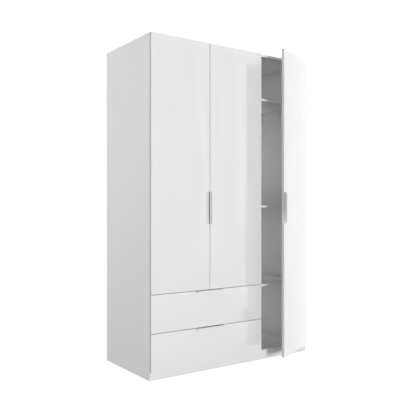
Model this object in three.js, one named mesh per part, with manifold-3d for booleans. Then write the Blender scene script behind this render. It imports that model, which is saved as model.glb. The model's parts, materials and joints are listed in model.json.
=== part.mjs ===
// A three-door wardrobe with two full-width drawers under its left pair of doors.
// Millimetres, +X to the right seen from the front, +Y to the back, +Z up.
// The origin is the middle of the front plinth's underside, on the floor.
import * as THREE from "three";
import { mergeVertices } from "three/addons/utils/BufferGeometryUtils.js";
import Module from "manifold-3d";

const wasm = await Module();
wasm.setup();

// ---- Driving dimensions -------------------------------------------------------------------------

// Carcass
const WIDTH = 1335;
const HEIGHT = 2160;
const DEPTH = 610;
const BOARD = 16;
const PLINTH_HEIGHT = 52;
const DOOR_PITCH = WIDTH / 3;

// Back boards, held in a groove in each side panel
const BACK_BOARD = 3;
const BACK_PLAY = 0.25;
const GROOVE_DEPTH = 7;
const GROOVE_REAR_LIP = 12;
const BACK_BOARD_GAP = 1.5;
const BACK_BOARD_BOTTOM = 30;
const JOINER_FLANGE = 12;
const JOINER_WALL = 1;

// Fronts
const FRONT_BOARD = 18;
const FRONT_STAND_OFF = 2;
const FRONT_GAP = 3;
const DRAWER_FRONT_HEIGHT = 239;
const DOOR_THREE_OPEN = 25;

// Shelves: heights of their middles
const RIGHT_SHELF_HEIGHTS = [524, 1083, 1842];
const HAT_SHELF_HEIGHT = 1842;
const SHELF_SETBACK = 10;
const SHELF_REAR_GAP = 4;
const SHELF_SIDE_PLAY = 0.5;

// Clothes rail: an oval tube in two open end cups
const RAIL_HEIGHT = 30;
const RAIL_THICKNESS = 15;
const RAIL_WALL = 1.25;
const RAIL_DROP = 62;
const RAIL_CUP_WALL = 3;
const RAIL_CUP_DEPTH = 11;
const RAIL_PLAY = 0.5;

// Edge pulls
const PULL_LENGTH = 212;
const PULL_WALL = 2;
const PULL_PROJECTION = 20;
const PULL_LIP = 10;
const PULL_MIDDLE_HEIGHT = 1074;
const PULL_FIT = 0.3;

// Concealed hinges
const CUP_DIAMETER = 35;
const CUP_BORE_DEPTH = 12.5;
const CUP_CENTRE_FROM_EDGE = 22.5;
const HINGE_END_DISTANCE = 100;
const HINGE_ARM_WIDTH = 15;
const HINGE_PLATE = 2;
const HINGE_PLATE_HEIGHT = 50;

// Drawers
const DRAWER_BOARD = 12;
const DRAWER_SIDE_HEIGHT = 170;
const DRAWER_DEPTH = 500;
const DRAWER_FLOOR_ABOVE_FRONT_EDGE = 31;
const DRAWER_BOTTOM_GROOVE = 5;
const DRAWER_BOTTOM_RISE = 10;
const RUNNER_CLEARANCE = 12.5;
const RUNNER_WALL = 1.25;
const RUNNER_SETBACK = 12;

// ---- Worked-out planes --------------------------------------------------------------------------

const CARCASS_FRONT = -BOARD / 2;
const CARCASS_REAR = CARCASS_FRONT + DEPTH;
const LEFT_OUT = -WIDTH / 2;
const RIGHT_OUT = WIDTH / 2;
const LEFT_IN = LEFT_OUT + BOARD;
const RIGHT_IN = RIGHT_OUT - BOARD;
const PARTITION_MIDDLE = LEFT_OUT + 2 * DOOR_PITCH;
const PARTITION_LEFT = PARTITION_MIDDLE - BOARD / 2;
const PARTITION_RIGHT = PARTITION_MIDDLE + BOARD / 2;
const FLOOR_TOP = PLINTH_HEIGHT + BOARD;
const ROOF_UNDERSIDE = HEIGHT - BOARD;

const BACK_REAR = CARCASS_REAR - GROOVE_REAR_LIP - BACK_PLAY;
const BACK_FRONT = BACK_REAR - BACK_BOARD;
const BOARDS_REAR = BACK_FRONT - BACK_PLAY;

const FRONTS_BACK = CARCASS_FRONT - FRONT_STAND_OFF;
const FRONTS_FACE = FRONTS_BACK - FRONT_BOARD;
const FRONT_WIDTH = DOOR_PITCH - FRONT_GAP;
const FRONTS_BOTTOM = PLINTH_HEIGHT;
const FRONTS_TOP = HEIGHT - FRONT_GAP / 2;
const DRAWER_PITCH = DRAWER_FRONT_HEIGHT + FRONT_GAP;
const SHORT_DOOR_BOTTOM = FRONTS_BOTTOM + 2 * DRAWER_PITCH;
const COVER_MIDDLE = SHORT_DOOR_BOTTOM - FRONT_GAP / 2;

// ---- Materials ----------------------------------------------------------------------------------

const finish = (color, roughness, metalness = 0) =>
  new THREE.MeshStandardMaterial({ color, roughness, metalness });

const MATT_WHITE = finish(0xe6e6e4, 0.55);
const GLOSS_WHITE = finish(0xf3f3f2, 0.12);
const BACK_WHITE = finish(0xd9d8d4, 0.8);
const DRAWER_WHITE = finish(0xe2e1dd, 0.6);
const WHITE_PLASTIC = finish(0xdededb, 0.45);
const ALUMINIUM = finish(0xb4b5b7, 0.35, 1);
const CHROME = finish(0xc9cbce, 0.12, 1);
const NICKEL = finish(0xb0aea8, 0.25, 1);
const COATED_STEEL = finish(0xd8d8d6, 0.4, 0.2);

// ---- Shape helpers ------------------------------------------------------------------------------

// A named mesh of one sub-part.
function part(name, geometry, material) {
  const mesh = new THREE.Mesh(geometry, material);
  mesh.name = name;
  return mesh;
}

// A board between two corners.
function slab([x0, y0, z0], [x1, y1, z1]) {
  const geometry = new THREE.BoxGeometry(x1 - x0, y1 - y0, z1 - z0);
  return geometry.translate((x0 + x1) / 2, (y0 + y1) / 2, (z0 + z1) / 2);
}

const board = (name, low, high, material = MATT_WHITE) => part(name, slab(low, high), material);

// An outline through the given points.
const outline = (points) => new THREE.Shape(points.map(([x, y]) => new THREE.Vector2(x, y)));

// A shape in the XY plane, raised from z0 to z1.
function raise(shape, z0, z1, curveSegments = 6) {
  const options = { depth: z1 - z0, bevelEnabled: false, curveSegments };
  return new THREE.ExtrudeGeometry(shape, options).translate(0, 0, z0);
}

// A section drawn as (x, z), drawn out along Y from y0 to y1.
function drawOut(points, y0, y1) {
  const geometry = raise(outline(points.map(([x, z]) => [x, -z])), y0, y1);
  return geometry.rotateX(-Math.PI / 2);
}

function solid(geometry) {
  const bare = geometry.clone();
  bare.deleteAttribute("normal");
  bare.deleteAttribute("uv");
  const merged = mergeVertices(bare);
  const triVerts = new Uint32Array(merged.index.array);
  const vertProperties = merged.attributes.position.array;
  return new wasm.Manifold(new wasm.Mesh({ numProp: 3, vertProperties, triVerts }));
}

function geometryOf(manifold) {
  const mesh = manifold.getMesh();
  const geometry = new THREE.BufferGeometry();
  geometry.setAttribute("position", new THREE.BufferAttribute(mesh.vertProperties, 3));
  geometry.setIndex(new THREE.BufferAttribute(mesh.triVerts, 1));
  const flat = geometry.toNonIndexed();
  flat.computeVertexNormals();
  return flat;
}

const cut = (whole, ...tools) =>
  geometryOf(tools.reduce((left, tool) => left.subtract(solid(tool)), solid(whole)));

const join = (...pieces) =>
  geometryOf(pieces.slice(1).reduce((sum, piece) => sum.add(solid(piece)), solid(pieces[0])));

// An upright oval, a stadium of the given height and thickness, drawn out along X.
function ovalAlongX(height, thickness, x0, x1, hole = null) {
  const stadium = (h, t) => {
    const radius = t / 2;
    const straight = h / 2 - radius;
    const path = new THREE.Shape();
    path.absarc(0, straight, radius, 0, Math.PI);
    path.absarc(0, -straight, radius, Math.PI, 2 * Math.PI);
    path.closePath();
    return path;
  };
  const shape = stadium(height, thickness);
  if (hole) shape.holes.push(stadium(...hole));
  return raise(shape, x0, x1, 10).rotateX(Math.PI / 2).rotateZ(Math.PI / 2);
}

// ---- Carcass ------------------------------------------------------------------------------------

// A side panel, its back groove open towards the inside; side is -1 for left, 1 for right.
function sidePanel(name, side) {
  const out = (side * WIDTH) / 2;
  const inner = out - side * BOARD;
  const grooveFloor = inner + side * GROOVE_DEPTH;
  const section = outline([
    [out, CARCASS_FRONT],
    [inner, CARCASS_FRONT],
    [inner, BOARDS_REAR],
    [grooveFloor, BOARDS_REAR],
    [grooveFloor, BACK_REAR + BACK_PLAY],
    [inner, BACK_REAR + BACK_PLAY],
    [inner, CARCASS_REAR],
    [out, CARCASS_REAR],
  ]);
  return part(name, raise(section, 0, HEIGHT), MATT_WHITE);
}

function carcassBoards() {
  const front = CARCASS_FRONT;
  const rear = BOARDS_REAR;
  const uprightLow = FLOOR_TOP;
  return [
    sidePanel("left_side_panel", -1),
    sidePanel("right_side_panel", 1),
    board("top_panel", [LEFT_IN, front, ROOF_UNDERSIDE], [RIGHT_IN, rear, HEIGHT]),
    board("bottom_panel", [LEFT_IN, front, PLINTH_HEIGHT], [RIGHT_IN, rear, FLOOR_TOP]),
    board("front_plinth", [LEFT_IN, front, 0], [RIGHT_IN, front + BOARD, PLINTH_HEIGHT]),
    board("rear_plinth", [LEFT_IN, rear - BOARD, 0], [RIGHT_IN, rear, PLINTH_HEIGHT]),
    board(
      "partition_panel",
      [PARTITION_LEFT, front, uprightLow],
      [PARTITION_RIGHT, rear, ROOF_UNDERSIDE],
    ),
    board(
      "drawer_cover_panel",
      [LEFT_IN, front, COVER_MIDDLE - BOARD / 2],
      [PARTITION_LEFT, rear - SHELF_REAR_GAP, COVER_MIDDLE + BOARD / 2],
    ),
    board(
      "hat_shelf",
      [LEFT_IN, front + SHELF_SETBACK, HAT_SHELF_HEIGHT - BOARD / 2],
      [PARTITION_LEFT, rear - SHELF_REAR_GAP, HAT_SHELF_HEIGHT + BOARD / 2],
    ),
  ];
}

function rightShelves() {
  const x0 = PARTITION_RIGHT + SHELF_SIDE_PLAY;
  const x1 = RIGHT_IN - SHELF_SIDE_PLAY;
  return RIGHT_SHELF_HEIGHTS.map((middle, i) =>
    board(
      `right_shelf_${i + 1}`,
      [x0, CARCASS_FRONT + SHELF_SETBACK, middle - BOARD / 2],
      [x1, BOARDS_REAR - SHELF_REAR_GAP, middle + BOARD / 2],
    ),
  );
}

// Three back boards: two share an H-section joiner, and two meet behind the partition.
function backBoards() {
  const half = BACK_BOARD_GAP / 2;
  const joints = [LEFT_OUT + DOOR_PITCH, PARTITION_MIDDLE];
  const left = LEFT_IN - GROOVE_DEPTH + BACK_PLAY;
  const right = RIGHT_IN + GROOVE_DEPTH - BACK_PLAY;
  const spans = {
    back_board_left: [left, joints[0] - half],
    back_board_middle: [joints[0] + half, joints[1] - half],
    back_board_right: [joints[1] + half, right],
  };
  return Object.entries(spans).map(([name, [x0, x1]]) =>
    board(name, [x0, BACK_FRONT, BACK_BOARD_BOTTOM], [x1, BACK_REAR, HEIGHT], BACK_WHITE),
  );
}

function backJoiner() {
  const middle = LEFT_OUT + DOOR_PITCH;
  const web = BACK_BOARD_GAP / 2;
  const flange = JOINER_FLANGE;
  const half = [
    [web, BACK_FRONT],
    [flange, BACK_FRONT],
    [flange, BACK_FRONT - JOINER_WALL],
    [-flange, BACK_FRONT - JOINER_WALL],
    [-flange, BACK_FRONT],
    [-web, BACK_FRONT],
    [-web, BACK_REAR],
    [-flange, BACK_REAR],
    [-flange, BACK_REAR + JOINER_WALL],
    [flange, BACK_REAR + JOINER_WALL],
    [flange, BACK_REAR],
    [web, BACK_REAR],
  ];
  const section = outline(half.map(([x, y]) => [middle + x, y]));
  const low = COVER_MIDDLE + BOARD / 2;
  return part("back_board_joiner", raise(section, low, ROOF_UNDERSIDE), WHITE_PLASTIC);
}

// The clothes rail hangs under the hat shelf, between two cups that are open at the top.
function clothesRail() {
  const height = HAT_SHELF_HEIGHT - BOARD / 2 - RAIL_DROP;
  const depth = (CARCASS_FRONT + BOARDS_REAR) / 2;
  const hang = (geometry) => geometry.translate(0, depth, height);
  const bore = [RAIL_HEIGHT - 2 * RAIL_WALL, RAIL_THICKNESS - 2 * RAIL_WALL];
  const x0 = LEFT_IN + RAIL_CUP_WALL + RAIL_PLAY;
  const x1 = PARTITION_LEFT - RAIL_CUP_WALL - RAIL_PLAY;
  const rail = hang(ovalAlongX(RAIL_HEIGHT, RAIL_THICKNESS, x0, x1, bore));
  const pocket = 2 * RAIL_PLAY;
  const rim = pocket + 2 * RAIL_CUP_WALL;
  const cup = (name, face, side) => {
    const [low, high] = [face, face + side * RAIL_CUP_DEPTH].sort((a, b) => a - b);
    const body = ovalAlongX(RAIL_HEIGHT + rim, RAIL_THICKNESS + rim, low, high);
    const [inLow, inHigh] = side > 0 ? [low + RAIL_CUP_WALL, high + 1] : [low - 1, high - RAIL_CUP_WALL];
    const seat = ovalAlongX(RAIL_HEIGHT + pocket, RAIL_THICKNESS + pocket, inLow, inHigh);
    const halfSlot = (RAIL_THICKNESS + pocket) / 2;
    const mouth = slab([inLow, -halfSlot, 0], [inHigh, halfSlot, RAIL_HEIGHT]);
    return part(name, hang(cut(body, seat, mouth)), CHROME);
  };
  return [
    part("clothes_rail", rail, CHROME),
    cup("rail_cup_left", LEFT_IN, 1),
    cup("rail_cup_right", PARTITION_LEFT, -1),
  ];
}

// ---- Edge pulls ---------------------------------------------------------------------------------

// The pull's section: a web over the front's edge, standing out in front of it, and a lip turned
// back over the face. Its corner is at the origin: the edge faces side * X, and the face is at y = 0.
function pullSection(side) {
  const back = FRONT_BOARD;
  const front = -PULL_PROJECTION;
  const corner = PULL_WALL;
  const shape = new THREE.Shape();
  shape.moveTo(0, back);
  shape.lineTo(0, front + corner);
  shape.absarc(-side * corner, front + corner, corner, side > 0 ? 0 : Math.PI, -Math.PI / 2, side > 0);
  shape.lineTo(-side * PULL_LIP, front);
  shape.lineTo(-side * PULL_LIP, front + PULL_WALL);
  shape.lineTo(-side * PULL_WALL, front + PULL_WALL);
  shape.lineTo(-side * PULL_WALL, back);
  shape.closePath();
  return shape;
}

const pullUpright = (side) => raise(pullSection(side), -PULL_LENGTH / 2, PULL_LENGTH / 2, 4);

// The rebate that the pull's web lies in, cut right through the front's thickness.
function pullRebate(side) {
  const deep = PULL_WALL + PULL_FIT;
  const half = PULL_LENGTH / 2 + PULL_FIT;
  const [x0, x1] = side > 0 ? [-deep, 1] : [-1, deep];
  return slab([x0, -1, -half], [x1, FRONT_BOARD + 1, half]);
}

// ---- Doors --------------------------------------------------------------------------------------

// A door hangs in a group whose origin is its hinge axis: the outer front corner of its hinge edge.
// side is the way from the hinge edge to the free edge: 1 for a door hinged on its left.
function door(number, hingeX, side, bottom, hingeHeights, openDegrees) {
  const name = `door_${number}`;
  const free = side * FRONT_WIDTH;
  const [x0, x1] = side > 0 ? [0, free] : [free, 0];
  const panel = slab([x0, 0, bottom], [x1, FRONT_BOARD, FRONTS_TOP]);
  const cups = hingeHeights.map((z) => {
    const bore = new THREE.CylinderGeometry(CUP_DIAMETER / 2, CUP_DIAMETER / 2, CUP_BORE_DEPTH + 1, 32);
    const middle = FRONT_BOARD + (1 - CUP_BORE_DEPTH) / 2;
    return bore.translate(side * CUP_CENTRE_FROM_EDGE, middle, z);
  });
  const rebate = pullRebate(side).translate(free, 0, PULL_MIDDLE_HEIGHT);
  const pull = pullUpright(side).translate(free, 0, PULL_MIDDLE_HEIGHT);
  const leaf = new THREE.Group();
  leaf.position.set(hingeX, FRONTS_FACE, 0);
  leaf.rotation.z = THREE.MathUtils.degToRad(openDegrees);
  leaf.add(part(`${name}_panel`, cut(panel, rebate, ...cups), GLOSS_WHITE));
  leaf.add(part(`${name}_pull`, pull, ALUMINIUM));
  return leaf;
}

// Heights of a door's hinges, spread evenly between its two end ones.
function hingeHeights(bottom, count) {
  const low = bottom + HINGE_END_DISTANCE;
  const step = (FRONTS_TOP - HINGE_END_DISTANCE - low) / (count - 1);
  return Array.from({ length: count }, (_, i) => low + i * step);
}

// A hinge's mounting plate and arm on the inner face of an upright; side points into the wardrobe.
function hingeArm(name, faceX, side, z) {
  const x = (out) => faceX + side * out;
  const y = (behind) => CARCASS_FRONT + behind;
  const [plateFront, plateRear] = [19, 55];
  const plateX = [x(0), x(HINGE_PLATE)].sort((a, b) => a - b);
  const halfPlate = HINGE_PLATE_HEIGHT / 2;
  const plate = slab([plateX[0], y(plateFront), z - halfPlate], [plateX[1], y(plateRear), z + halfPlate]);
  const armPlan = [
    [1, 60],
    [1, 18],
    [4, 1],
    [11, 1],
    [13, 7],
    [13, 55],
    [8, 62],
  ];
  const armShape = outline(armPlan.map(([out, behind]) => [x(out), y(behind)]));
  const arm = raise(armShape, z - HINGE_ARM_WIDTH / 2, z + HINGE_ARM_WIDTH / 2);
  return part(name, join(plate, arm), NICKEL);
}

function doorsAndHinges() {
  const margin = FRONT_GAP / 2;
  const leaves = [
    { hingeX: LEFT_OUT + margin, side: 1, bottom: SHORT_DOOR_BOTTOM, count: 3, open: 0 },
    { hingeX: PARTITION_MIDDLE - margin, side: -1, bottom: SHORT_DOOR_BOTTOM, count: 3, open: 0 },
    { hingeX: RIGHT_OUT - margin, side: -1, bottom: FRONTS_BOTTOM, count: 4, open: DOOR_THREE_OPEN },
  ];
  const uprights = [LEFT_IN, PARTITION_LEFT, RIGHT_IN];
  return leaves.flatMap(({ hingeX, side, bottom, count, open }, i) => {
    const heights = hingeHeights(bottom, count);
    const arms = heights.map((z, j) => hingeArm(`hinge_arm_${i + 1}_${j + 1}`, uprights[i], side, z));
    return [door(i + 1, hingeX, side, bottom, heights, open), ...arms];
  });
}

// ---- Drawers ------------------------------------------------------------------------------------

// Runner sections as (distance in from the upright's face, height above the drawer side's lower edge).
const CARCASS_RUNNER = [
  [0, 9],
  [8.5, 9],
  [8.5, 9 + RUNNER_WALL],
  [RUNNER_WALL, 9 + RUNNER_WALL],
  [RUNNER_WALL, 30],
  [8.5, 30],
  [8.5, 30 + RUNNER_WALL],
  [0, 30 + RUNNER_WALL],
];
const DRAWER_RUNNER = [
  [24, -RUNNER_WALL],
  [24, 0],
  [RUNNER_CLEARANCE, 0],
  [RUNNER_CLEARANCE, 28],
  [5.5, 28],
  [5.5, 28 - RUNNER_WALL],
  [RUNNER_CLEARANCE - RUNNER_WALL, 28 - RUNNER_WALL],
  [RUNNER_CLEARANCE - RUNNER_WALL, -RUNNER_WALL],
];

function runner(name, section, faceX, side, base) {
  const points = section.map(([out, up]) => [faceX + side * out, base + up]);
  const from = CARCASS_FRONT + RUNNER_SETBACK;
  return part(name, drawOut(points, from, FRONTS_BACK + DRAWER_DEPTH), COATED_STEEL);
}

function drawer(name, frontBottom) {
  const margin = FRONT_GAP / 2;
  const frontLeft = LEFT_OUT + margin;
  const frontRight = PARTITION_MIDDLE - margin;
  const frontTop = frontBottom + DRAWER_FRONT_HEIGHT;
  const middle = (frontLeft + frontRight) / 2;
  const onTopEdge = (geometry) => geometry.rotateY(-Math.PI / 2).translate(middle, FRONTS_FACE, frontTop);
  const front = slab([frontLeft, FRONTS_FACE, frontBottom], [frontRight, FRONTS_BACK, frontTop]);

  const boxLeft = LEFT_IN + RUNNER_CLEARANCE;
  const boxRight = PARTITION_LEFT - RUNNER_CLEARANCE;
  const base = frontBottom + DRAWER_FLOOR_ABOVE_FRONT_EDGE;
  const top = base + DRAWER_SIDE_HEIGHT;
  const rear = FRONTS_BACK + DRAWER_DEPTH;
  const grooveLow = base + DRAWER_BOTTOM_RISE;
  const bottomLow = grooveLow + BACK_PLAY;
  const bottomTop = bottomLow + BACK_BOARD;
  const grooveTop = bottomTop + BACK_PLAY;
  const side = (sideName, outer, inward) => {
    const inner = outer + inward * DRAWER_BOARD;
    const grooveFloor = inner - inward * DRAWER_BOTTOM_GROOVE;
    const section = [
      [outer, base],
      [inner, base],
      [inner, grooveLow],
      [grooveFloor, grooveLow],
      [grooveFloor, grooveTop],
      [inner, grooveTop],
      [inner, top],
      [outer, top],
    ];
    return part(sideName, drawOut(section, FRONTS_BACK, rear), DRAWER_WHITE);
  };
  const innerLeft = boxLeft + DRAWER_BOARD;
  const innerRight = boxRight - DRAWER_BOARD;
  const reach = DRAWER_BOTTOM_GROOVE - 2 * BACK_PLAY;
  return [
    part(`${name}_front`, cut(front, onTopEdge(pullRebate(1))), GLOSS_WHITE),
    part(`${name}_pull`, onTopEdge(pullUpright(1)), ALUMINIUM),
    side(`${name}_left_side`, boxLeft, 1),
    side(`${name}_right_side`, boxRight, -1),
    board(
      `${name}_rear`,
      [innerLeft, rear - DRAWER_BOARD, grooveTop],
      [innerRight, rear, top],
      DRAWER_WHITE,
    ),
    board(
      `${name}_bottom`,
      [innerLeft - reach, FRONTS_BACK + BACK_PLAY, bottomLow],
      [innerRight + reach, rear, bottomTop],
      BACK_WHITE,
    ),
    runner(`${name}_moving_runner_left`, DRAWER_RUNNER, LEFT_IN, 1, base),
    runner(`${name}_moving_runner_right`, DRAWER_RUNNER, PARTITION_LEFT, -1, base),
    runner(`${name}_fixed_runner_left`, CARCASS_RUNNER, LEFT_IN, 1, base),
    runner(`${name}_fixed_runner_right`, CARCASS_RUNNER, PARTITION_LEFT, -1, base),
  ];
}

// ---- Assembly -----------------------------------------------------------------------------------

const wardrobe = new THREE.Group();
wardrobe.add(
  ...carcassBoards(),
  ...rightShelves(),
  ...backBoards(),
  backJoiner(),
  ...clothesRail(),
  ...doorsAndHinges(),
  ...drawer("lower_drawer", FRONTS_BOTTOM),
  ...drawer("upper_drawer", FRONTS_BOTTOM + DRAWER_PITCH),
);

export default wardrobe;
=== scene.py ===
"""Looks for a three-door wardrobe with two drawers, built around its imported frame.

Laid out as an add-on: property groups hold the sizes and colours, one operator makes each group of
pieces, and a panel in the 3D view's sidebar lists them. Everything is in metres, +Z up, +Y to the back.
"""

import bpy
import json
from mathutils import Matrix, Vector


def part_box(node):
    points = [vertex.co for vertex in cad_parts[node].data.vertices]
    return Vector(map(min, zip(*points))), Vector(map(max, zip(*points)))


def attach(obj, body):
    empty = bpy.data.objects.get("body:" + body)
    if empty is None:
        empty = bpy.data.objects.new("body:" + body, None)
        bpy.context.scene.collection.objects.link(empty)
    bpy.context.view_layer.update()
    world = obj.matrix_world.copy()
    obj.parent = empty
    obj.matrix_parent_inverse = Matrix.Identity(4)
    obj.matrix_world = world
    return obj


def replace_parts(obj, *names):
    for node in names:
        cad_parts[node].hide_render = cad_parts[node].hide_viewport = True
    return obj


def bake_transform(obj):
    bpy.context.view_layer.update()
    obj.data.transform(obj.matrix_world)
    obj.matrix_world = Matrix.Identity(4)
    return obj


bl_info = {
    "name": "Three-door wardrobe",
    "version": (1, 0, 0),
    "blender": (4, 5, 0),
    "location": "3D View > Sidebar > Wardrobe",
    "description": "Boards, lacquered fronts, pulls and fittings of a free-standing wardrobe",
    "category": "Object",
}

import json
import math

import bmesh
import bpy
from mathutils import Matrix, Vector
from mathutils.geometry import interpolate_bezier

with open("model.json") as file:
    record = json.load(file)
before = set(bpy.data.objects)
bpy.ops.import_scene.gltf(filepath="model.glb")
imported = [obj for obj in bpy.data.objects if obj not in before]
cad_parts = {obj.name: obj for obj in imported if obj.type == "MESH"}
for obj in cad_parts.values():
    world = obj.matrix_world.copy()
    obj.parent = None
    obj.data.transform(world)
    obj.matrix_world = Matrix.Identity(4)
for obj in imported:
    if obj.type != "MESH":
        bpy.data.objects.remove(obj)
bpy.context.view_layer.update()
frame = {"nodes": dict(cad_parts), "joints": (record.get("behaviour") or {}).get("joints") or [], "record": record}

MM = 0.001
BAY_GLOW = 0.82  # watts of fill light for each metre of a shelf space's height
RUNNER_EDGE = 0.3 * MM
ARM_EDGE = 0.5 * MM
BOARD_CORNER = 0.4 * MM
PULL_ALUMINIUM = (0.66, 0.663, 0.666)
WHITE = (1, 1, 1, 1)
BLACK = (0, 0, 0, 1)
FLOOR_HALF = 30
SWEEP_RADIUS = 45
BACKGROUND_GLOW = 1.08
FLOOR_GLOW = 1.1
DOORS = ("door_1", "door_2", "door_3")
DRAWERS = ("lower_drawer", "upper_drawer")
FRONT_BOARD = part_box("door_1_panel")[1][1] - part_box("door_1_panel")[0][1]
JOINTS = {joint["child"]: joint for joint in frame["joints"]}
CARCASS_BOARDS = [
    part["node"] for part in frame["record"]["subparts"] if part["material_slot"] == "carcass_board"
]


# ---- Sizes and colours --------------------------------------------------------------------------


class WardrobeSizes(bpy.types.PropertyGroup):
    """Sizes of the finish, which the frame leaves out."""

    board_edge: bpy.props.FloatProperty(
        name="Board edge radius",
        description="Rounding along the edges of the carcass boards",
        default=0.6 * MM,
        unit="LENGTH",
    )
    front_edge: bpy.props.FloatProperty(
        name="Front edge radius",
        description="Rounding along the edges of the lacquered fronts",
        default=1.2 * MM,
        unit="LENGTH",
    )


class WardrobeFittings(bpy.types.PropertyGroup):
    """Sizes of the pulls, hinge cups, screws, shelf supports and nails."""

    pull_edge: bpy.props.FloatProperty(
        name="Pull edge radius",
        description="Rounding along the edges of the aluminium pulls",
        default=0.35 * MM,
        unit="LENGTH",
    )
    pull_screw_spacing: bpy.props.FloatProperty(
        name="Pull screw spacing",
        description="Distance between a pull's two screws",
        default=160 * MM,
        unit="LENGTH",
    )
    cup_from_edge: bpy.props.FloatProperty(
        name="Hinge cup distance",
        description="From a door's hinge edge to the middle of its hinge cups",
        default=22.5 * MM,
        unit="LENGTH",
    )
    screw_head: bpy.props.FloatProperty(
        name="Screw head radius",
        description="Radius of the hinges' screw heads",
        default=3.5 * MM,
        unit="LENGTH",
    )
    support_inset: bpy.props.FloatProperty(
        name="Shelf support inset",
        description="From a shelf's front and rear edges to its supports",
        default=40 * MM,
        unit="LENGTH",
    )
    nail_spacing: bpy.props.FloatProperty(
        name="Nail spacing",
        description="Distance between the nails of the back boards",
        default=150 * MM,
        unit="LENGTH",
    )


class WardrobeColours(bpy.types.PropertyGroup):
    """Base colours of the finishes."""

    carcass: bpy.props.FloatVectorProperty(
        name="Carcass",
        description="Matt melamine of the boards",
        subtype="COLOR",
        default=(0.80, 0.80, 0.795),
    )
    front: bpy.props.FloatVectorProperty(
        name="Front",
        description="High-gloss lacquer of the doors and drawer fronts",
        subtype="COLOR",
        default=(0.78, 0.78, 0.78),
    )
    floor: bpy.props.FloatVectorProperty(
        name="Floor",
        description="The studio floor",
        subtype="COLOR",
        default=(0.9, 0.9, 0.9),
    )


class WardrobeStage(bpy.types.PropertyGroup):
    """The camera."""

    eye: bpy.props.FloatVectorProperty(
        name="Camera position",
        description="Where the camera stands, in the wardrobe's frame",
        subtype="XYZ",
        unit="LENGTH",
        default=(-2.4467, -3.1546, 1.0722),
    )
    yaw: bpy.props.FloatProperty(
        name="Camera yaw",
        description="How far the level camera is turned to the right of straight back",
        subtype="ANGLE",
        default=math.radians(35.23),
    )
    lens: bpy.props.FloatProperty(
        name="Lens",
        description="Focal length on a sensor 36 mm wide",
        unit="CAMERA",
        default=50.37,
    )


def sizes():
    return bpy.context.scene.wardrobe_sizes


def fittings():
    return bpy.context.scene.wardrobe_fittings


def colours():
    return bpy.context.scene.wardrobe_colours


# ---- Material helpers ---------------------------------------------------------------------------


class Finish:
    """A node material under construction: a Principled shader and short-hands for what feeds it."""

    def __init__(self, name, **values):
        self.material = bpy.data.materials.new(name)
        self.material.use_nodes = True
        self.nodes = self.material.node_tree.nodes
        self.links = self.material.node_tree.links
        self.shader = self.nodes["Principled BSDF"]
        self.place = self.nodes.new("ShaderNodeTexCoord").outputs["Object"]
        for socket, value in values.items():
            self.shader.inputs[socket.replace("_", " ")].default_value = value

    def noise(self, scale, detail=2.0, stretch=(1, 1, 1), roughness=0.5):
        mapping = self.nodes.new("ShaderNodeMapping")
        mapping.inputs["Scale"].default_value = stretch
        self.links.new(self.place, mapping.inputs["Vector"])
        node = self.nodes.new("ShaderNodeTexNoise")
        node.inputs["Scale"].default_value = scale
        node.inputs["Detail"].default_value = detail
        node.inputs["Roughness"].default_value = roughness
        self.links.new(mapping.outputs["Vector"], node.inputs["Vector"])
        return node.outputs["Fac"]

    def ranged(self, value, low, high, from_low=0.3, from_high=0.7):
        node = self.nodes.new("ShaderNodeMapRange")
        node.inputs["From Min"].default_value = from_low
        node.inputs["From Max"].default_value = from_high
        node.inputs["To Min"].default_value = low
        node.inputs["To Max"].default_value = high
        self.links.new(value, node.inputs["Value"])
        return node.outputs["Result"]

    def colour(self, factor, dark, light):
        ramp = self.nodes.new("ShaderNodeValToRGB")
        ramp.color_ramp.elements[0].color = (*dark, 1)
        ramp.color_ramp.elements[1].color = (*light, 1)
        self.links.new(factor, ramp.inputs["Fac"])
        self.links.new(ramp.outputs["Color"], self.shader.inputs["Base Color"])

    def roughness(self, factor, low, high):
        self.links.new(self.ranged(factor, low, high), self.shader.inputs["Roughness"])

    def glow(self, factor, low, high, from_low=0.3, from_high=0.7):
        strength = self.ranged(factor, low, high, from_low, from_high)
        self.links.new(strength, self.shader.inputs["Emission Strength"])

    def along(self, axis):
        node = self.nodes.new("ShaderNodeSeparateXYZ")
        self.links.new(self.place, node.inputs["Vector"])
        return node.outputs[axis]

    def bump(self, height, strength, distance, target="Normal"):
        node = self.nodes.new("ShaderNodeBump")
        node.inputs["Strength"].default_value = strength
        node.inputs["Distance"].default_value = distance
        self.links.new(height, node.inputs["Height"])
        self.links.new(node.outputs["Normal"], self.shader.inputs[target])


def shade(colour, factor):
    return tuple(channel * factor for channel in colour)


def melamine(name, colour):
    """Matt melamine: a fine pearl texture, faint mottling and slightly uneven sheen."""
    finish = Finish(name, IOR=1.5)
    pearl = finish.noise(1500, detail=3)
    finish.colour(finish.noise(3.5), shade(colour, 0.985), shade(colour, 1.01))
    finish.roughness(finish.noise(22), 0.42, 0.52)
    finish.bump(pearl, 0.12, 0.1 * MM)
    return finish.material


def lacquer(name, colour):
    """High-gloss lacquer: a clear coat with the faint long waves of a sprayed and buffed face."""
    finish = Finish(name, IOR=1.5, Coat_Weight=1.0, Coat_Roughness=0.015, Coat_IOR=1.65)
    finish.colour(finish.noise(2.2), shade(colour, 0.99), shade(colour, 1.008))
    finish.roughness(finish.noise(30), 0.03, 0.06)
    finish.bump(finish.noise(55, detail=1), 0.03, 0.05 * MM, target="Coat Normal")
    return finish.material


def hardboard(name, colour):
    """Thin painted fibreboard: a slightly fibrous, dull face."""
    finish = Finish(name, IOR=1.45)
    fibres = finish.noise(400, detail=4, stretch=(1, 1, 0.35), roughness=0.65)
    finish.colour(finish.noise(6, detail=4), shade(colour, 0.96), shade(colour, 1.02))
    finish.roughness(fibres, 0.62, 0.8)
    finish.bump(fibres, 0.2, 0.15 * MM)
    return finish.material


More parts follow.
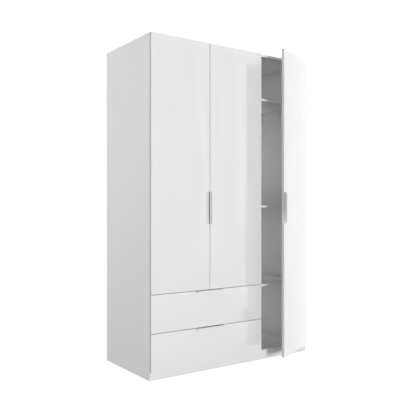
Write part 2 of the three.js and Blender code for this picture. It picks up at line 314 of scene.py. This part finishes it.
def brushed_metal(name, colour, grain, rough=(0.28, 0.4)):
    """Metal brushed along one direction: grain is the stretch of the noise, small along the brushing."""
    finish = Finish(name, Metallic=1.0)
    lines = finish.noise(1200, detail=3, stretch=grain, roughness=0.6)
    finish.colour(lines, shade(colour, 0.93), shade(colour, 1.05))
    finish.roughness(lines, *rough)
    finish.bump(lines, 0.08, 0.02 * MM)
    return finish.material


def plated(name, colour, rough):
    """Plated pressed steel with faint stains and handling marks."""
    finish = Finish(name, Metallic=1.0)
    finish.colour(finish.noise(90, detail=4), shade(colour, 0.9), shade(colour, 1.04))
    finish.roughness(finish.noise(300, detail=3), *rough)
    return finish.material


def coated(name, colour, rough=(0.32, 0.45)):
    """Powder-coated steel or moulded plastic: a fine orange peel."""
    finish = Finish(name, IOR=1.5)
    finish.colour(finish.noise(40), shade(colour, 0.97), shade(colour, 1.02))
    finish.roughness(finish.noise(120), *rough)
    finish.bump(finish.noise(700), 0.15, 0.05 * MM)
    return finish.material


MATERIALS = {}


def make_materials():
    carcass = tuple(colours().carcass)
    MATERIALS["board"] = melamine("matt_white_melamine", carcass)
    MATERIALS["front"] = lacquer("gloss_white_lacquer", tuple(colours().front))
    MATERIALS["front_edge"] = coated("grey_front_edging", (0.52, 0.52, 0.52), (0.25, 0.35))
    MATERIALS["hardboard"] = hardboard("white_hardboard", (0.70, 0.70, 0.692))
    MATERIALS["drawer"] = melamine("white_drawer_foil", (0.76, 0.758, 0.75))
    upright = brushed_metal("brushed_aluminium_upright", PULL_ALUMINIUM, (1, 1, 0.02))
    level = brushed_metal("brushed_aluminium_level", PULL_ALUMINIUM, (0.02, 1, 1))
    MATERIALS["pull_upright"] = upright
    MATERIALS["pull_level"] = level
    MATERIALS["chrome"] = plated("polished_chrome", (0.72, 0.73, 0.74), (0.05, 0.12))
    MATERIALS["nickel"] = plated("nickel_plate", (0.62, 0.61, 0.58), (0.2, 0.34))
    MATERIALS["steel"] = coated("white_powder_coat", (0.74, 0.74, 0.73))
    MATERIALS["plastic"] = coated("white_plastic", (0.73, 0.73, 0.72), (0.4, 0.5))


SLOT_MATERIAL = {"back_board": "hardboard", "drawer_board": "drawer", "white_plastic": "plastic"}


# ---- Mesh helpers -------------------------------------------------------------------------------


def piece_of(bm, name, materials, body, matrix=None):
    """Turns a bmesh into a finished object on a body, its place in its mesh."""
    if matrix is not None:
        bm.transform(matrix)
    mesh = bpy.data.meshes.new(name)
    bm.to_mesh(mesh)
    bm.free()
    for material in materials:
        mesh.materials.append(MATERIALS[material])
    obj = bpy.data.objects.new(name, mesh)
    bpy.context.scene.collection.objects.link(obj)
    if body:
        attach(obj, body)
    return obj


def merged_copy(node):
    """A bmesh of a frame node with its triangles merged back into flat faces."""
    bm = bmesh.new()
    bm.from_mesh(frame["nodes"][node].data)
    bmesh.ops.remove_doubles(bm, verts=bm.verts, dist=1e-6)
    bmesh.ops.dissolve_limit(bm, angle_limit=math.radians(1), verts=bm.verts, edges=bm.edges)
    return bm


def round_edges(bm, edges, radius, segments=3):
    bmesh.ops.bevel(
        bm,
        geom=edges,
        offset=radius,
        affect="EDGES",
        segments=segments,
        profile=0.5,
        material=-1,
        clamp_overlap=True,
    )


def sharp_edges(bm, degrees=50):
    limit = math.radians(degrees)
    return [edge for edge in bm.edges if edge.is_manifold and edge.calc_face_angle() > limit]


def smooth_by_angle(bm, degrees=40):
    limit = math.radians(degrees)
    for face in bm.faces:
        face.smooth = True
    for edge in bm.edges:
        edge.smooth = edge.is_manifold and edge.calc_face_angle() < limit


def add_part(bm, part, matrix, material=0):
    """Moves a part's mesh to its place and adds it to a piece."""
    part.transform(matrix)
    for face in part.faces:
        face.material_index = material
    mesh = bpy.data.meshes.new("part")
    part.to_mesh(mesh)
    part.free()
    bm.from_mesh(mesh)
    bpy.data.meshes.remove(mesh)


def turned(profile, steps=24):
    """A part turned about its Z axis from a profile of (radius, height) points."""
    bm = bmesh.new()
    verts = [bm.verts.new((radius, 0, height)) for radius, height in profile]
    edges = [bm.edges.new(pair) for pair in zip(verts, verts[1:])]
    bmesh.ops.spin(
        bm,
        geom=verts + edges,
        cent=(0, 0, 0),
        axis=(0, 0, 1),
        angle=math.tau,
        steps=steps,
        use_merge=True,
    )
    bmesh.ops.remove_doubles(bm, verts=bm.verts, dist=1e-7)
    bmesh.ops.recalc_face_normals(bm, faces=bm.faces)
    return bm


def screw(radius, dome):
    """A screw head that stands dome proud of the surface at Z = 0, with a cross recess."""
    bm = bmesh.new()
    bmesh.ops.create_circle(bm, cap_ends=True, cap_tris=True, segments=16, radius=0.55 * radius)
    bmesh.ops.translate(bm, verts=bm.verts, vec=(0, 0, dome))
    bm.faces.ensure_lookup_table()
    arms = [bm.faces[i] for i in range(0, len(bm.faces), 4)]
    sunk = bmesh.ops.extrude_face_region(bm, geom=arms)["geom"]
    floor = [item for item in sunk if isinstance(item, bmesh.types.BMVert)]
    bmesh.ops.translate(bm, verts=floor, vec=(0, 0, -0.35 * radius))
    rim = [edge for edge in bm.edges if edge.is_boundary]
    for reach, height in ((0.85, 0.85 * dome), (1.0, 0.3 * dome), (1.0, -0.4 * radius)):
        grown = bmesh.ops.extrude_edge_only(bm, edges=rim)["geom"]
        rim = [item for item in grown if isinstance(item, bmesh.types.BMEdge)]
        for vert in (item for item in grown if isinstance(item, bmesh.types.BMVert)):
            vert.co = Vector((*(vert.co.xy.normalized() * reach * radius), height))
    bmesh.ops.holes_fill(bm, edges=rim, sides=0)
    bmesh.ops.recalc_face_normals(bm, faces=bm.faces)
    return bm


def rounded_block(low, high, radius, segments=2):
    """A block between two corners with its edges rounded."""
    bm = bmesh.new()
    low, high = Vector(low), Vector(high)
    bmesh.ops.create_cube(bm, size=1)
    bmesh.ops.scale(bm, verts=bm.verts, vec=high - low)
    bmesh.ops.translate(bm, verts=bm.verts, vec=(low + high) / 2)
    round_edges(bm, bm.edges[:], radius, segments)
    return bm


def swept_bar(points, width, thickness):
    """A flat bar that follows level points, with its width upright."""
    stations = []
    for before, point, after in zip([points[0], *points], points, [*points[1:], points[-1]]):
        ahead = (after - before).normalized()
        across = ahead.cross(Vector((0, 0, 1)))
        axes = Matrix((across, Vector((0, 0, 1)), ahead)).transposed().to_4x4()
        stations.append(Matrix.Translation(point) @ axes)
    bm = bmesh.new()
    bmesh.ops.create_grid(bm, x_segments=1, y_segments=1, size=0.5)
    bmesh.ops.scale(bm, verts=bm.verts, vec=(thickness, width, 1))
    bm.transform(stations[0])
    end = bm.faces[:]
    for before, after in zip(stations, stations[1:]):
        grown = bmesh.ops.extrude_face_region(bm, geom=end)["geom"]
        end = [item for item in grown if isinstance(item, bmesh.types.BMFace)]
        bmesh.ops.transform(bm, matrix=after @ before.inverted(), verts=end[0].verts)
    bmesh.ops.recalc_face_normals(bm, faces=bm.faces)
    return bm


def facing(place, out):
    """A matrix that sets a part's Z axis along out, at a place."""
    return Matrix.Translation(place) @ Vector(out).to_track_quat("Z", "Y").to_matrix().to_4x4()


def box_of(node):
    low, high = (Vector(corner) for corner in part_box(node))
    return low, high, (low + high) / 2


def box_in(bm):
    """The lowest and highest corners of a bmesh."""
    low = Vector(min(vert.co[axis] for vert in bm.verts) for axis in range(3))
    high = Vector(max(vert.co[axis] for vert in bm.verts) for axis in range(3))
    return low, high


def spread(low, high, spacing):
    """Places from low to high, evenly spaced and no further apart than spacing."""
    count = max(1, math.ceil((high - low) / spacing))
    return [low + (high - low) * i / count for i in range(count + 1)]


def hinge_side(body):
    """1 for a door hinged on its left, -1 for one hinged on its right."""
    low, high, middle = box_of(f"{body}_panel")
    return 1 if middle.x > JOINTS[body]["pos_m"][0] else -1


def smooth_copy(node, name, material, body, radius):
    """Replaces a frame node by a copy with rounded edges and smooth curves."""
    bm = merged_copy(node)
    round_edges(bm, sharp_edges(bm), radius)
    smooth_by_angle(bm)
    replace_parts(piece_of(bm, name, [material], body), node)


def leaf_matrix(body):
    """Turns a closed leaf's own axes into the frame: its origin is on the hinge axis."""
    joint = JOINTS[body]
    opened = -math.radians(joint["range_deg"][0]) * joint["axis"][2]
    return Matrix.Translation(joint["pos_m"]) @ Matrix.Rotation(opened, 4, "Z")


def finish_node(node, material, radius=0.0):
    """Gives a frame node its finish and, with modifiers, its rounded edges."""
    obj = frame["nodes"][node]
    obj.data.materials.clear()
    obj.data.materials.append(MATERIALS[material])
    if radius:
        weld = obj.modifiers.new("weld", "WELD")
        weld.merge_threshold = 0.01 * MM
        flat = obj.modifiers.new("flat_faces", "DECIMATE")
        flat.decimate_type = "DISSOLVE"
        flat.angle_limit = math.radians(1)
        bevel = obj.modifiers.new("edge_radius", "BEVEL")
        bevel.width = radius
        bevel.segments = 2
        bevel.limit_method = "ANGLE"
        bevel.angle_limit = math.radians(50)
    return obj


# ---- Operators ----------------------------------------------------------------------------------


class WARDROBE_OT_carcass(bpy.types.Operator):
    """Finish the carcass boards"""

    bl_idname = "wardrobe.carcass"
    bl_label = "Carcass boards"

    def execute(self, context):
        for node in CARCASS_BOARDS:
            finish_node(node, "board", sizes().board_edge)
        return {"FINISHED"}


class WARDROBE_OT_fronts(bpy.types.Operator):
    """Make the lacquered doors and drawer fronts, matt on their inner faces"""

    bl_idname = "wardrobe.fronts"
    bl_label = "Doors and drawer fronts"

    def execute(self, context):
        for body in DOORS:
            self.front(f"{body}_leaf", f"{body}_panel", body, leaf_matrix(body))
        for body in DRAWERS:
            self.front(f"{body}_face", f"{body}_front", body, Matrix.Identity(4))
        return {"FINISHED"}

    def front(self, name, node, body, matrix):
        bm = merged_copy(node)
        bm.transform(matrix.inverted())
        low = min(vert.co.y for vert in bm.verts)
        outline = [edge for edge in sharp_edges(bm) if self.on_face(edge, low)]
        round_edges(bm, outline, sizes().front_edge)
        bm.normal_update()
        for face in bm.faces:
            face.material_index = self.finish_of(face)
        smooth_by_angle(bm)
        materials = ["front", "board", "front_edge"]
        piece = piece_of(bm, name, materials, body, matrix)
        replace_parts(piece, node)

    def finish_of(self, face):
        """0 for the lacquered face with its rounded rim, 1 for the matt back, 2 for the edging."""
        if face.normal.y < -0.1:
            return 0
        return 1 if face.normal.y > 0.9 else 2

    def on_face(self, edge, low):
        return all(abs(vert.co.y - low) < 0.1 * MM for vert in edge.verts)


class WARDROBE_OT_pulls(bpy.types.Operator):
    """Make the brushed aluminium edge pulls, each held by two countersunk screws"""

    bl_idname = "wardrobe.pulls"
    bl_label = "Pulls"

    screw_radius = 3 * MM
    screw_dome = 0.15 * MM

    def execute(self, context):
        for body in DOORS:
            out = Vector((hinge_side(body), 0, 0))
            self.pull(body, "pull_upright", leaf_matrix(body), out, Vector((0, 0, 1)))
        for body in DRAWERS:
            self.pull(body, "pull_level", Matrix.Identity(4), Vector((0, 0, 1)), Vector((1, 0, 0)))
        return {"FINISHED"}

    def pull(self, body, material, matrix, out, along):
        node = f"{body}_pull"
        bm = merged_copy(node)
        bm.transform(matrix.inverted())
        low, high = box_in(bm)
        round_edges(bm, sharp_edges(bm), fittings().pull_edge)
        edge = (low + high) / 2 + out * abs((high - low).dot(out)) / 2
        edge.y = high.y - FRONT_BOARD / 2
        for way in (-1, 1):
            place = edge + along * way * fittings().pull_screw_spacing / 2
            head = screw(self.screw_radius, self.screw_dome)
            add_part(bm, head, facing(place, out), material=1)
        smooth_by_angle(bm)
        materials = [material, "nickel"]
        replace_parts(piece_of(bm, f"{body}_grip", materials, body, matrix), node)


class WARDROBE_OT_hinges(bpy.types.Operator):
    """Make the concealed hinges: cups in the doors, links, and the screws that hold them"""

    bl_idname = "wardrobe.hinges"
    bl_label = "Hinges"

    ear_low = Vector((-5, 18.0, 17.6))
    ear_high = Vector((15, 19.1, 30.5))
    ear_screw = Vector((6, 19.1, 24))
    link_width = 11 * MM
    link_thickness = 4 * MM
    link_steps = 24
    link_inside_arm = 12 * MM
    link_past_arm = 2 * MM
    link_depth_in_cup = 8.5 * MM
    link_curl = 0.3
    adjusting_screws = (22 * MM, 44 * MM)
    plate_thickness = 2 * MM
    plate_screw_depth = 36 * MM
    plate_screw_rise = 16 * MM
    plate_screw_head = 4 * MM

    # Radius and depth of the pressed cup, in millimetres from the door's outer face
    cup_profile = (
        (0, 6.4),
        (15.4, 6.4),
        (17.2, 8.2),
        (17.2, 18.0),
        (19.4, 18.0),
        (19.4, 18.9),
        (19.0, 19.3),
        (16.5, 19.3),
        (16.0, 18.8),
        (16.0, 8.6),
        (14.8, 7.4),
        (0, 7.4),
    )

    def execute(self, context):
        for body in DOORS:
            arms = [node for node in frame["nodes"] if node.startswith(f"hinge_arm_{body[-1]}_")]
            heights = [box_of(arm)[2].z for arm in arms]
            for arm in arms:
                finish_node(arm, "nickel", ARM_EDGE)
            self.cups(body, heights)
            self.links(body, box_of(arms[0]), heights)
            self.arm_screws(body, box_of(arms[0]), heights)
        return {"FINISHED"}

    def cups(self, body, heights):
        side = hinge_side(body)
        bm = bmesh.new()
        for height in heights:
            middle = Vector((side * fittings().cup_from_edge, 0, height))
            profile = [(radius * MM, depth * MM) for radius, depth in self.cup_profile]
            add_part(bm, turned(profile, 40), facing(middle, (0, 1, 0)))
            for way in (-1, 1):
                above_or_below = Vector((1, 1, way)) * MM
                ear = rounded_block(self.ear_low * above_or_below, self.ear_high * above_or_below, ARM_EDGE)
                bmesh.ops.recalc_face_normals(ear, faces=ear.faces)
                mirror = Matrix.Scale(side, 4, (1, 0, 0))
                add_part(bm, ear, Matrix.Translation(middle) @ mirror)
                place = middle + self.ear_screw * Vector((side, 1, way)) * MM
                add_part(bm, screw(fittings().screw_head, 0.5 * MM), facing(place, (0, 1, 0)))
        bmesh.ops.recalc_face_normals(bm, faces=bm.faces)
        smooth_by_angle(bm)
        piece_of(bm, f"{body}_hinge_cups", ["nickel"], body, leaf_matrix(body))

    def links(self, body, arm, heights):
        """Flat links from the arms' mouths into the cups, which follow the door as it opens."""
        leaf = leaf_matrix(body)
        across = hinge_side(body) * fittings().cup_from_edge
        mouth = Vector((arm[2].x, arm[0].y, 0))
        cup_floor = leaf @ Vector((across, self.link_depth_in_cup, 0))
        cup_mouth = leaf @ Vector((across, FRONT_BOARD, 0))
        bm = bmesh.new()
        for height in heights:
            knots = (
                mouth + Vector((0, self.link_inside_arm, height)),
                mouth + Vector((0, -self.link_past_arm, height)),
                cup_mouth + (cup_mouth - cup_floor) * self.link_curl + Vector((0, 0, height)),
                cup_floor + Vector((0, 0, height)),
            )
            path = interpolate_bezier(*knots, self.link_steps)
            bar = swept_bar(path, self.link_width, self.link_thickness)
            add_part(bm, bar, Matrix.Identity(4))
        piece = piece_of(bm, f"{body}_hinge_links", ["nickel"], None)
        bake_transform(piece)

    def arm_screws(self, body, arm, heights):
        """Two adjusting screws in each arm, and two screws that hold its plate to the upright."""
        side = hinge_side(body)
        low, high, middle = arm
        arm_top = high.x if side > 0 else low.x
        plate_top = (low.x if side > 0 else high.x) + side * self.plate_thickness
        bm = bmesh.new()
        for height in heights:
            for behind in self.adjusting_screws:
                place = Vector((arm_top, low.y + behind, height))
                add_part(bm, screw(fittings().screw_head, 0.6 * MM), facing(place, (side, 0, 0)))
            for way in (-1, 1):
                rise = way * self.plate_screw_rise
                place = Vector((plate_top, low.y + self.plate_screw_depth, height + rise))
                head = screw(self.plate_screw_head, 1.2 * MM)
                add_part(bm, head, facing(place, (side, 0, 0)))
        smooth_by_angle(bm)
        piece_of(bm, f"{body}_arm_screws", ["nickel"], "carcass")


class WARDROBE_OT_runners(bpy.types.Operator):
    """Finish the drawer runners and make their rollers"""

    bl_idname = "wardrobe.runners"
    bl_label = "Drawer runners"

    # Radius, distance from the runner's wall and width of each roller, in millimetres
    front_roller = (7.4, 1.2, 5.5)
    rear_roller = (9.3, 6.0, 3.0)
    section_base = 9 * MM
    front_roller_place = Vector((1.25, 12, 19.1)) * MM
    rear_roller_place = Vector((11.25, -14, 20.1)) * MM

    def execute(self, context):
        for drawer in DRAWERS:
            fixed, moving = bmesh.new(), bmesh.new()
            for name, side in (("left", 1), ("right", -1)):
                finish_node(f"{drawer}_fixed_runner_{name}", "steel", RUNNER_EDGE)
                finish_node(f"{drawer}_moving_runner_{name}", "steel", RUNNER_EDGE)
                self.rollers(drawer, name, side, fixed, moving)
            materials = ["plastic", "nickel"]
            piece_of(fixed, f"{drawer}_front_rollers", materials, "carcass")
            piece_of(moving, f"{drawer}_rear_rollers", materials, drawer)
        return {"FINISHED"}

    def rollers(self, drawer, name, side, fixed, moving):
        low, high, middle = box_of(f"{drawer}_fixed_runner_{name}")
        face = low.x if side > 0 else high.x
        base = low.z - self.section_base
        mirror = Vector((side, 1, 1))
        place = Vector((face, low.y, base)) + self.front_roller_place * mirror
        self.roller(fixed, facing(place, (side, 0, 0)), *self.front_roller)
        low, high, middle = box_of(f"{drawer}_moving_runner_{name}")
        place = Vector((face, high.y, base)) + self.rear_roller_place * mirror
        self.roller(moving, facing(place, (-side, 0, 0)), *self.rear_roller)

    def roller(self, bm, matrix, radius, stand_off, width):
        """A roller on its rivet, in millimetres, stand_off away from the runner's wall."""
        far = stand_off + width
        wheel = (
            (1.7, stand_off),
            (radius - 0.5, stand_off),
            (radius, stand_off + 0.5),
            (radius, far - 0.5),
            (radius - 0.5, far),
            (1.7, far),
            (1.7, stand_off),
        )
        rivet = (
            (0, -0.2),
            (1.6, -0.2),
            (1.6, far + 0.05),
            (2.6, far + 0.05),
            (2.2, far + 0.5),
            (0, far + 0.6),
        )
        for material, profile in enumerate((wheel, rivet)):
            part = turned([(reach * MM, height * MM) for reach, height in profile], 32)
            smooth_by_angle(part)
            add_part(bm, part, matrix, material)


class WARDROBE_OT_shelf_supports(bpy.types.Operator):
    """Make the four supports under each loose shelf"""

    bl_idname = "wardrobe.shelf_supports"
    bl_label = "Shelf supports"

    # The bracket's side view: millimetres out from the upright and up from the shelf's underside
    outline = ((0, -0.1), (8, -0.1), (8, -1.8), (2.2, -11), (0, -11))
    width = 9

    def execute(self, context):
        uprights = ((box_of("partition_panel")[1].x, 1), (box_of("right_side_panel")[0].x, -1))
        for number in (1, 2, 3):
            low, high, middle = box_of(f"right_shelf_{number}")
            inset = fittings().support_inset
            bm = bmesh.new()
            for face, side in uprights:
                for depth in (low.y + inset, high.y - inset):
                    place = Matrix.Translation((face, depth, low.z))
                    add_part(bm, self.support(), place @ Matrix.Scale(side, 4, (1, 0, 0)))
            bmesh.ops.recalc_face_normals(bm, faces=bm.faces)
            smooth_by_angle(bm)
            piece_of(bm, f"shelf_supports_{number}", ["nickel"], "carcass")
        return {"FINISHED"}

    def support(self):
        bm = bmesh.new()
        half = self.width / 2
        verts = [bm.verts.new(Vector((out, -half, up)) * MM) for out, up in self.outline]
        face = bm.faces.new(verts)
        grown = bmesh.ops.extrude_face_region(bm, geom=[face])["geom"]
        moved = [item for item in grown if isinstance(item, bmesh.types.BMVert)]
        bmesh.ops.translate(bm, verts=moved, vec=(0, self.width * MM, 0))
        bmesh.ops.recalc_face_normals(bm, faces=bm.faces)
        round_edges(bm, bm.edges[:], 0.4 * MM, 2)
        return bm


class WARDROBE_OT_rail(bpy.types.Operator):
    """Make the clothes rail and its end cups"""

    bl_idname = "wardrobe.rail"
    bl_label = "Clothes rail"

    def execute(self, context):
        smooth_copy("clothes_rail", "hanging_rail", "chrome", "carcass", 0.3 * MM)
        for side in ("left", "right"):
            smooth_copy(f"rail_cup_{side}", f"rail_end_{side}", "chrome", "carcass", 0.5 * MM)
        return {"FINISHED"}


class WARDROBE_OT_back_nails(bpy.types.Operator):
    """Make the nails that hold the back boards to the carcass"""

    bl_idname = "wardrobe.back_nails"
    bl_label = "Back nails"

    head = ((0, -0.5), (1.9, -0.5), (1.9, 0.1), (1.4, 0.4), (0, 0.6))

    def execute(self, context):
        partition = box_of("partition_panel")
        rear = box_of("back_board_left")[1].y
        spacing = fittings().nail_spacing
        joiner = box_of("back_board_joiner")
        end_margin = 25 * MM
        off_middle = 5 * MM
        joiner_room = 3 * MM
        places = []
        for node in ("bottom_panel", "top_panel", "drawer_cover_panel", "hat_shelf"):
            low, high, middle = box_of(node)
            places += [(x, middle.z) for x in spread(low.x + end_margin, high.x - end_margin, spacing)]
        for x in (partition[2].x - off_middle, partition[2].x + off_middle):
            low = box_of("bottom_panel")[1].z
            high = box_of("top_panel")[0].z
            places += [(x, z) for z in spread(low + end_margin, high - end_margin, spacing)]
        bm = bmesh.new()
        for x, z in places:
            if joiner[0].x - joiner_room < x < joiner[1].x + joiner_room:
                continue
            nail = turned([(radius * MM, height * MM) for radius, height in self.head], 10)
            add_part(bm, nail, facing(Vector((x, rear, z)), (0, 1, 0)))
        smooth_by_angle(bm)
        piece_of(bm, "back_board_nails", ["nickel"], "carcass")
        return {"FINISHED"}


class WARDROBE_OT_buffers(bpy.types.Operator):
    """Make the soft buffers on the backs of the doors and drawer fronts"""

    bl_idname = "wardrobe.buffers"
    bl_label = "Buffers"

    dome = ((0, 0), (2.9, 0), (2.7, 0.8), (1.9, 1.4), (0, 1.6))
    rim = 3.4 * MM
    partition_rim = 3.2 * MM
    from_free_edge = 20 * MM
    from_ends = 60 * MM
    under_roof = 7 * MM

    def execute(self, context):
        side_middle = (box_of("left_side_panel")[2].x, box_of("partition_panel")[0].x + self.partition_rim)
        for body in DOORS:
            bm = merged_copy(f"{body}_panel")
            bm.transform(leaf_matrix(body).inverted())
            low, high = box_in(bm)
            bm.free()
            side = hinge_side(body)
            free = high.x if side > 0 else low.x
            if body == "door_3":
                x = free - side * self.rim
                heights = (low.z + self.from_ends, high.z - self.from_ends)
            else:
                x = free - side * self.from_free_edge
                heights = (low.z + self.rim, high.z - self.under_roof)
            places = [(x, z) for z in heights]
            self.buffers(body, places, high.y, leaf_matrix(body))
        for body in DRAWERS:
            low, high, middle = box_of(f"{body}_front")
            heights = (low.z + self.from_free_edge, high.z - self.from_free_edge)
            places = [(x, z) for x in side_middle for z in heights]
            self.buffers(body, places, high.y, Matrix.Identity(4))
        return {"FINISHED"}

    def buffers(self, body, places, back, matrix):
        bm = bmesh.new()
        for x, z in places:
            dome = turned([(radius * MM, height * MM) for radius, height in self.dome], 20)
            add_part(bm, dome, facing(Vector((x, back, z)), (0, 1, 0)))
        smooth_by_angle(bm)
        piece_of(bm, f"{body}_buffers", ["plastic"], body, matrix)


class WARDROBE_OT_fittings(bpy.types.Operator):
    """Finish the frame's own fittings"""

    bl_idname = "wardrobe.fittings"
    bl_label = "Fittings"

    def execute(self, context):
        for part in frame["record"]["subparts"]:
            node, slot = part["node"], part["material_slot"]
            if slot in SLOT_MATERIAL:
                finish_node(node, SLOT_MATERIAL[slot], BOARD_CORNER)
        return {"FINISHED"}


class WARDROBE_OT_stage(bpy.types.Operator):
    """Set the camera, the pale floor and backdrop, and the soft studio light"""

    bl_idname = "wardrobe.stage"
    bl_label = "Studio"

    def execute(self, context):
        scene = context.scene
        self.camera(scene)
        self.backdrop()
        self.world(scene)
        self.softbox("key_light", (-1.1, -9.0, 1.4), (0.1, 0, 1.0), 1.5, 1.5, 500)
        self.softbox("right_light", (6.5, 0.6, 1.6), (0.6, 0, 1.1), 5.0, 3.2, 180)
        self.softbox("rear_light", (0.5, 7.0, 2.2), (0, 0.6, 1.1), 5.0, 3.6, 190)
        self.softbox("left_light", (-3.6, 0.6, 2.2), (-0.66, 0.3, 1.2), 2.0, 2.0, 44)
        self.softbox("top_light", (0, 0, 9), (0, 0.1, 0), 9.0, 9.0, 100)
        self.bay_fills()
        return {"FINISHED"}

    def camera(self, scene):
        stage = scene.wardrobe_stage
        data = bpy.data.cameras.new("camera")
        data.sensor_width = 36
        data.lens = stage.lens
        camera = bpy.data.objects.new("camera", data)
        camera.location = stage.eye
        camera.rotation_euler = (math.radians(90), 0, -stage.yaw)
        scene.collection.objects.link(camera)
        scene.camera = camera

    def backdrop(self):
        """A white floor and sweep that the camera sees, over a greyer floor that bounces the light."""
        colour = tuple(colours().floor)
        shown = Finish("studio_floor", IOR=1.3, Roughness=0.9)
        shown.shader.inputs["Emission Strength"].default_value = FLOOR_GLOW
        shown.shader.inputs["Emission Color"].default_value = WHITE
        shown.colour(shown.noise(0.4), shade(colour, 0.06), shade(colour, 0.065))
        bounce = Finish("studio_bounce", IOR=1.3, Roughness=0.9)
        bounce.colour(bounce.noise(0.4), shade(colour, 0.43), shade(colour, 0.45))
        floor = self.sheet("floor", shown, -0.5 * MM)
        underlay = self.sheet("floor_underlay", bounce, -1.0 * MM)
        bm = bmesh.new()
        bmesh.ops.create_uvsphere(bm, u_segments=48, v_segments=24, radius=SWEEP_RADIUS)
        bmesh.ops.reverse_faces(bm, faces=bm.faces)
        white = self.glow_paper("sweep")
        white.shader.inputs["Emission Strength"].default_value = BACKGROUND_GLOW
        sweep = self.stage_object("sweep", bm, white)
        for obj in (floor, sweep):
            obj.visible_diffuse = False
            obj.visible_shadow = False
        underlay.visible_camera = False
        underlay.visible_glossy = False
        left_flag = self.glow_paper("left_flag")
        left_flag.glow(left_flag.noise(0.5), 0.40, 0.42)
        self.card("left_flag", left_flag, (-5.0, -0.3, 1.6), (1, 0, 0), (5.5, 3.6))
        banded = self.glow_paper("right_card")
        banded.glow(banded.noise(1.6, detail=1, stretch=(1, 1, 0)), 1.25, 1.6)
        self.card("right_card", banded, (4.6, -6.0, 2.6), (0, 1, 0), (6.4, 7.2))
        faded = self.glow_paper("right_flag")
        faded.glow(faded.along("Y"), 1.26, 1.2, 0.0, 0.6)
        self.card("right_flag", faded, (7.0, 0.3, 2.4), (-1, 0, 0), (4.4, 4.8))

    def glow_paper(self, name):
        return Finish(f"studio_{name}", Emission_Color=WHITE, Base_Color=BLACK)

    def card(self, name, paper, place, facing_way, size):
        """An upright card that shows only in reflections."""
        bm = bmesh.new()
        bmesh.ops.create_grid(bm, x_segments=1, y_segments=1, size=0.5)
        bmesh.ops.scale(bm, verts=bm.verts, vec=(*size, 1))
        bm.transform(facing(place, facing_way))
        card = self.stage_object(name, bm, paper)
        card.visible_camera = False
        card.visible_diffuse = False
        card.visible_shadow = False

    def sheet(self, name, finish, height):
        bm = bmesh.new()
        bmesh.ops.create_grid(bm, x_segments=1, y_segments=1, size=FLOOR_HALF)
        bmesh.ops.translate(bm, verts=bm.verts, vec=(0, 0, height))
        return self.stage_object(name, bm, finish)

    def stage_object(self, name, bm, finish):
        mesh = bpy.data.meshes.new(name)
        bm.to_mesh(mesh)
        bm.free()
        mesh.materials.append(finish.material)
        obj = bpy.data.objects.new(name, mesh)
        bpy.context.scene.collection.objects.link(obj)
        return obj

    def world(self, scene):
        world = bpy.data.worlds.new("studio")
        world.use_nodes = True
        background = world.node_tree.nodes["Background"]
        background.inputs["Color"].default_value = WHITE
        background.inputs["Strength"].default_value = 0.29
        scene.world = world
        scene.view_settings.view_transform = "Standard"

    def bay_fills(self):
        """A weak light in the mouth of each shelf space, so that the open bay isn't black."""
        for space in frame["record"]["physics"]["openings"]:
            if not space["name"].startswith("right_space"):
                continue
            low, high = (Vector(corner) for corner in space["box_m"])
            middle = (low + high) / 2
            mouth = Vector((middle.x, low.y + 0.05, middle.z))
            size = (high - low) * 0.9
            light = self.softbox(
                f"fill_{space['name']}", mouth, middle, size.x, size.z, BAY_GLOW * size.z
            )
            light.data.spread = math.radians(75)

    def softbox(self, name, place, target, width, height, watts):
        """A rectangular light that lights the object but doesn't show in it."""
        data = bpy.data.lights.new(name, "AREA")
        data.shape = "RECTANGLE"
        data.size = width
        data.size_y = height
        data.energy = watts
        light = bpy.data.objects.new(name, data)
        light.location = place
        light.rotation_euler = (Vector(target) - Vector(place)).to_track_quat("-Z", "Y").to_euler()
        light.visible_camera = False
        light.visible_glossy = False
        bpy.context.scene.collection.objects.link(light)
        return light


class WARDROBE_PT_panel(bpy.types.Panel):
    """The wardrobe's operators and settings"""

    bl_label = "Wardrobe"
    bl_idname = "WARDROBE_PT_panel"
    bl_space_type = "VIEW_3D"
    bl_region_type = "UI"
    bl_category = "Wardrobe"

    def draw(self, context):
        layout = self.layout
        for operator in OPERATORS:
            layout.operator(operator.bl_idname)
        for group in (sizes(), fittings(), colours(), context.scene.wardrobe_stage):
            for name in group.bl_rna.properties.keys():
                if name not in ("rna_type", "name"):
                    layout.prop(group, name)


GROUPS = {
    "wardrobe_sizes": WardrobeSizes,
    "wardrobe_fittings": WardrobeFittings,
    "wardrobe_colours": WardrobeColours,
    "wardrobe_stage": WardrobeStage,
}
OPERATORS = (
    WARDROBE_OT_carcass,
    WARDROBE_OT_fronts,
    WARDROBE_OT_pulls,
    WARDROBE_OT_hinges,
    WARDROBE_OT_runners,
    WARDROBE_OT_shelf_supports,
    WARDROBE_OT_rail,
    WARDROBE_OT_back_nails,
    WARDROBE_OT_buffers,
    WARDROBE_OT_fittings,
    WARDROBE_OT_stage,
)


def register():
    for cls in (*GROUPS.values(), *OPERATORS, WARDROBE_PT_panel):
        bpy.utils.register_class(cls)
    for name, group in GROUPS.items():
        setattr(bpy.types.Scene, name, bpy.props.PointerProperty(type=group))


def unregister():
    for name in GROUPS:
        delattr(bpy.types.Scene, name)
    for cls in (WARDROBE_PT_panel, *reversed(OPERATORS), *reversed(GROUPS.values())):
        bpy.utils.unregister_class(cls)


def main():
    register()
    make_materials()
    for operator in OPERATORS:
        group, name = operator.bl_idname.split(".")
        getattr(getattr(bpy.ops, group), name)()


if __name__ == "__main__":
    main()
